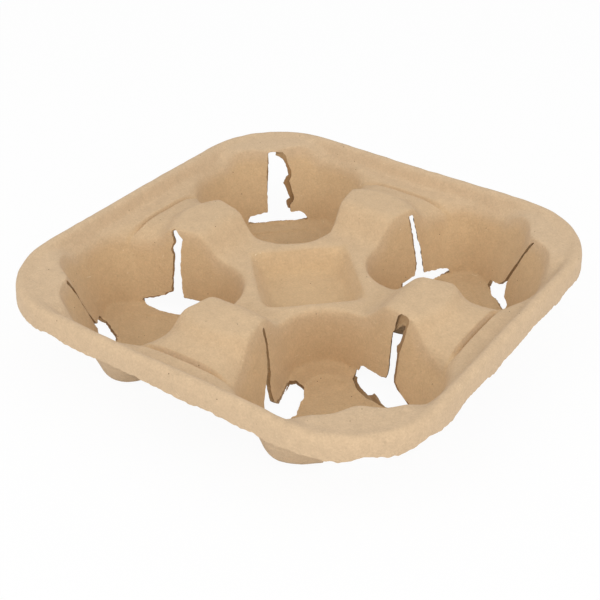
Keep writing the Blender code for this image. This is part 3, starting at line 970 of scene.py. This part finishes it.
# %% Pulp material
def pulp(name, painted_shade_colour, painted_lit_colour, grain_depth):
    """Felted paper fibre, its colour between a painted shade and a paler painted light, chosen by
    a value stored on each point.
    """
    material = bpy.data.materials.new(name)
    material.use_nodes = True
    tree = material.node_tree
    shader = tree.nodes["Principled BSDF"]
    where = node(tree, "ShaderNodeTexCoord").outputs["Object"]
    painted_light_fac = node(tree, "ShaderNodeAttribute", attribute_name="painted_light").outputs["Fac"]
    stock = blend_colour(tree, painted_light_fac, painted_shade_colour, painted_lit_colour)
    lie = cloud(tree, where, 90.0, 1.0).outputs["Color"]
    bent = node(tree, "ShaderNodeVectorMath", {0: lie, 1: (0.018, 0.018, 0.018)},
                operation="MULTIPLY").outputs[0]
    bent = node(tree, "ShaderNodeVectorMath", {0: where, 1: bent}, operation="ADD").outputs[0]
    hairs = []
    for stretch in ((260.0, 2100.0, 900.0), (2000.0, 320.0, 1100.0)):
        drawn = node(tree, "ShaderNodeMapping", {"Vector": bent, "Scale": stretch})
        hairs.append(cloud(tree, drawn.outputs[0], 1.0, 2.0).outputs["Fac"])
    felt = node(tree, "ShaderNodeMath", {0: hairs[0], 1: hairs[1]}, operation="MAXIMUM").outputs[0]
    layers = ((cloud(tree, where, 40.0, 3.0).outputs["Fac"], 0.10),
              (cloud(tree, where, 260.0, 3.0).outputs["Fac"], 0.20),
              (cloud(tree, where, 1100.0, 2.0).outputs["Fac"], 0.30),
              (felt, 0.24))
    tone = 1 - sum(amount for layer, amount in layers) / 2
    for layer, amount in layers:
        tone = node(tree, "ShaderNodeMath", {0: layer, 1: amount, 2: tone},
                    operation="MULTIPLY_ADD").outputs[0]
    stock = node(tree, "ShaderNodeVectorMath", {0: stock, "Scale": tone},
                 operation="SCALE").outputs[0]
    spots = node(tree, "ShaderNodeTexVoronoi", {"Vector": where, "Scale": 330.0})
    speck = between(tree, spots.outputs["Distance"], 0.11, 0.06)
    rare = between(tree, spots.outputs["Color"], 0.76, 0.80)
    speck = node(tree, "ShaderNodeMath", {0: speck, 1: rare}, operation="MULTIPLY")
    stock = blend_colour(tree, speck.outputs[0], stock, (0.17, 0.10, 0.05, 1.0))
    flecks = node(tree, "ShaderNodeTexVoronoi", {"Vector": bent, "Scale": 420.0})
    fleck = between(tree, flecks.outputs["Distance"], 0.16, 0.08)
    rare = between(tree, flecks.outputs["Color"], 0.80, 0.86)
    fleck = node(tree, "ShaderNodeMath", {0: fleck, 1: rare}, operation="MULTIPLY")
    stock = blend_colour(tree, fleck.outputs[0], stock, (0.72, 0.56, 0.36, 1.0))
    tree.links.new(stock, shader.inputs["Base Color"])
    shader.inputs["Roughness"].default_value = 0.92
    shader.inputs["Specular IOR Level"].default_value = 0.18
    shader.inputs["Sheen Weight"].default_value = 0.08
    shader.inputs["Sheen Roughness"].default_value = 0.6
    coarse_grain = cloud(tree, where, 420.0, 3.0).outputs["Fac"]
    height = node(tree, "ShaderNodeMath", {0: coarse_grain, 1: felt}, operation="ADD")
    bump = node(tree, "ShaderNodeBump", {"Height": height.outputs[0], "Strength": 0.8,
                                         "Distance": grain_depth})
    tree.links.new(bump.outputs[0], shader.inputs["Normal"])
    return material


# Each finish's first colour is a painted shade for the pockets, the well and the grooves; the
# second is a paler painted light for the rims and outsides.
pulp_face = pulp("pulp_face", (0.585, 0.404, 0.226, 1.0), (0.585, 0.424, 0.266, 1.0), 0.00036)
# The torn faces are a darker brown: partly the torn fibre, partly painted shade for the dark
# narrow slits.
pulp_torn_and_shade = pulp("pulp_torn_and_shade", (0.31, 0.18, 0.080, 1.0), (0.42, 0.28, 0.15, 1.0), 0.0005)
print("made", pulp_face.name, "and", pulp_torn_and_shade.name)

# %% [markdown]
# ## Cutting, and the painted light and shade
#
# The punch goes through the dry sheet and takes loose crumbs of pulp with it. A Boolean gives
# the cut faces the torn finish by itself, and every scrap that hangs free is dropped after it.
# The painted light and shade could be laid on by hand. A rule is evener: the rim, the corner lands
# and the outside are painted palest, the bridges' tops less, and the pockets, the well and the
# grooves take a darker painted shade.

# %% Cut the openings
def combine(target, other, operation):
    """Unite another solid with the target, or take it away, and apply that at once."""
    boolean = target.modifiers.new(other.name, "BOOLEAN")
    boolean.operation = operation
    boolean.solver = "EXACT"
    boolean.material_mode = "TRANSFER"
    boolean.object = other
    settle(target)
    bpy.data.objects.remove(other, do_unlink=True)


def drop_crumbs(made):
    """Keep only the largest connected piece of a mesh; return how many points went."""
    mesh = bmesh.new()
    mesh.from_mesh(made.data)
    left, pieces = set(mesh.verts), []
    while left:
        piece, reached = set(), {left.pop()}
        while reached:
            point = reached.pop()
            piece.add(point)
            near = {edge.other_vert(point) for edge in point.link_edges} & left
            left -= near
            reached |= near
        pieces.append(piece)
    pieces.sort(key=len)
    crumbs = [point for piece in pieces[:-1] for point in piece]
    bmesh.ops.delete(mesh, geom=crumbs, context="VERTS")
    mesh.to_mesh(made.data)
    mesh.free()
    return len(crumbs)


carrier.data.materials.append(pulp_face)
for cutter in cutters:
    cutter.data.materials.append(pulp_torn_and_shade)
for cutter in cutters[1:]:
    combine(cutters[0], cutter, "UNION")
combine(carrier, cutters[0], "DIFFERENCE")
print("crumbs had", drop_crumbs(carrier), "points")
carrier.data.shade_smooth()
carrier.data.set_sharp_from_angle(angle=radians(50.0))

# %% Store how much painted light or shade each point takes
# How much painted light each place takes: the well's floor and the bridges' tops less than the
# rim, and the groove a painted shade.
well_painted_light, well_lip_band = 0.2, (0.001, 0.011)
bridge_painted_light, rim_band = 0.6, (0.088, 0.102)
groove_painted_shade, groove_width = 0.5, 0.0010
wall_band, depth_band = (-0.001, 0.004), (0.0, 0.009)


def painted_light_at(place, normal):
    """Painted light share: nought, a painted shade, inside the pockets and the well; one, a paler
    painted light, on the rim and the outside.
    """
    in_well = well_side * 2 ** 0.5 - abs(place.x) - abs(place.y)
    if in_well > 0:
        depth = ease(ridge_height - place.z, *well_lip_band)
        return well_painted_light * (1 - depth) if normal.z > 0 else 1.0
    arm = Vector((abs(place.x) - pocket_centre, abs(place.y) - pocket_centre))
    inward = Vector((-arm.x * (1 if place.x > 0 else -1), -arm.y * (1 if place.y > 0 else -1)))
    facing = normal.x * inward.x + normal.y * inward.y + normal.z * inward.length
    if facing < 0:
        return 1.0
    angle = pi / 4 - atan2(arm.y, arm.x)
    angle = (angle + pi) % (2 * pi) - pi
    edge_out = arm.length - mouth_radius(angle)
    below = mouth_height(angle) - place.z
    distance = max(abs(place.x), abs(place.y))
    top_painted_light = bridge_painted_light + (1 - bridge_painted_light) * ease(distance, *rim_band)
    # A painted shade along the groove's line across each bridge.
    top_painted_light -= groove_painted_shade * exp(-((distance - groove) / groove_width) ** 2)
    if abs(angle) < land_end:
        top_painted_light = 1.0
    inside = ease(-edge_out, *wall_band) * ease(below, *depth_band)
    return top_painted_light * (1 - inside)


# Each point keeps its painted light share, which the pulp colours read.
painted_light = carrier.data.attributes.new("painted_light", "FLOAT", "POINT")
for vertex, item in zip(carrier.data.vertices, painted_light.data):
    item.value = painted_light_at(vertex.co, vertex.normal)
print("after cutting", sum(len(face.vertices) - 2 for face in carrier.data.polygons), "triangles")
print("finishes:", [material.name for material in carrier.data.materials])

# %% [markdown]
# ## Floor, light and background
#
# The carrier is lit as in a small studio: a white room, and soft boxes low in front, at both
# sides and a weaker one above, so that the pockets fill with light and keep a soft shade. One
# big box overhead would be quicker to place, but it leaves the walls that face the camera dark.
# The floor and the room look white to the camera only, and the floor still takes the shadow.

# %% Floor
floor_half, floor_glow = 4.0, 0.94


def make_floor():
    """A wide white floor that keeps a faint shadow."""
    mesh = bmesh.new()
    bmesh.ops.create_grid(mesh, x_segments=1, y_segments=1, size=floor_half)
    floor = new_object("studio_floor", mesh)
    material = bpy.data.materials.new("studio_white")
    material.use_nodes = True
    tree = material.node_tree
    tree.nodes.remove(tree.nodes["Principled BSDF"])
    matt = node(tree, "ShaderNodeBsdfDiffuse", {"Color": (0.85, 0.85, 0.85, 1.0)})
    glow = node(tree, "ShaderNodeEmission", {"Color": (1.0, 1.0, 1.0, 1.0), "Strength": 1.0})
    seen = node(tree, "ShaderNodeLightPath").outputs["Is Camera Ray"]
    mostly = node(tree, "ShaderNodeMath", {0: seen, 1: floor_glow}, operation="MULTIPLY")
    both = node(tree, "ShaderNodeMixShader", {0: mostly.outputs[0], 1: matt.outputs[0],
                                              2: glow.outputs[0]})
    tree.links.new(both.outputs[0], tree.nodes["Material Output"].inputs["Surface"])
    floor.data.materials.append(material)
    return floor


print("floor", make_floor().name)

# %% Lamps and surroundings
box_size, room_strength = 0.8, 0.73
soft_boxes = (("left_box", (-0.27, -0.72, 0.64), 2.35), ("right_box", (0.77, 0.0, 0.64), 2.55),
              ("low_box", (0.55, -0.79, 0.26), 1.8), ("high_box", (0.33, -0.47, 0.82), 0.6))


def make_light(name, location, energy):
    """A square soft box aimed at the carrier."""
    data = bpy.data.lights.new(name, "AREA")
    data.size = box_size
    data.energy = energy
    lamp = bpy.data.objects.new(name, data)
    lamp.location = location
    lamp.rotation_euler = Vector(location).to_track_quat("Z", "Y").to_euler()
    bpy.context.scene.collection.objects.link(lamp)
    return lamp


for box_name, box_place, box_energy in soft_boxes:
    make_light(box_name, box_place, box_energy)
surroundings = bpy.data.worlds.new("white_room")
surroundings.use_nodes = True
room = surroundings.node_tree
camera_ray = node(room, "ShaderNodeLightPath").outputs["Is Camera Ray"]
strength = node(room, "ShaderNodeMapRange",
                {"Value": camera_ray, "To Min": room_strength, "To Max": 1.0})
room.links.new(strength.outputs["Result"], room.nodes["Background"].inputs["Strength"])
room.nodes["Background"].inputs["Color"].default_value = (1.0, 1.0, 1.0, 1.0)
bpy.context.scene.world = surroundings
bpy.context.scene.view_settings.view_transform = "Standard"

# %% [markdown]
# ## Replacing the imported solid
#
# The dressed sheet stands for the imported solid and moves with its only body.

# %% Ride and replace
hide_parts("cup_carrier")
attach(carrier, "root")
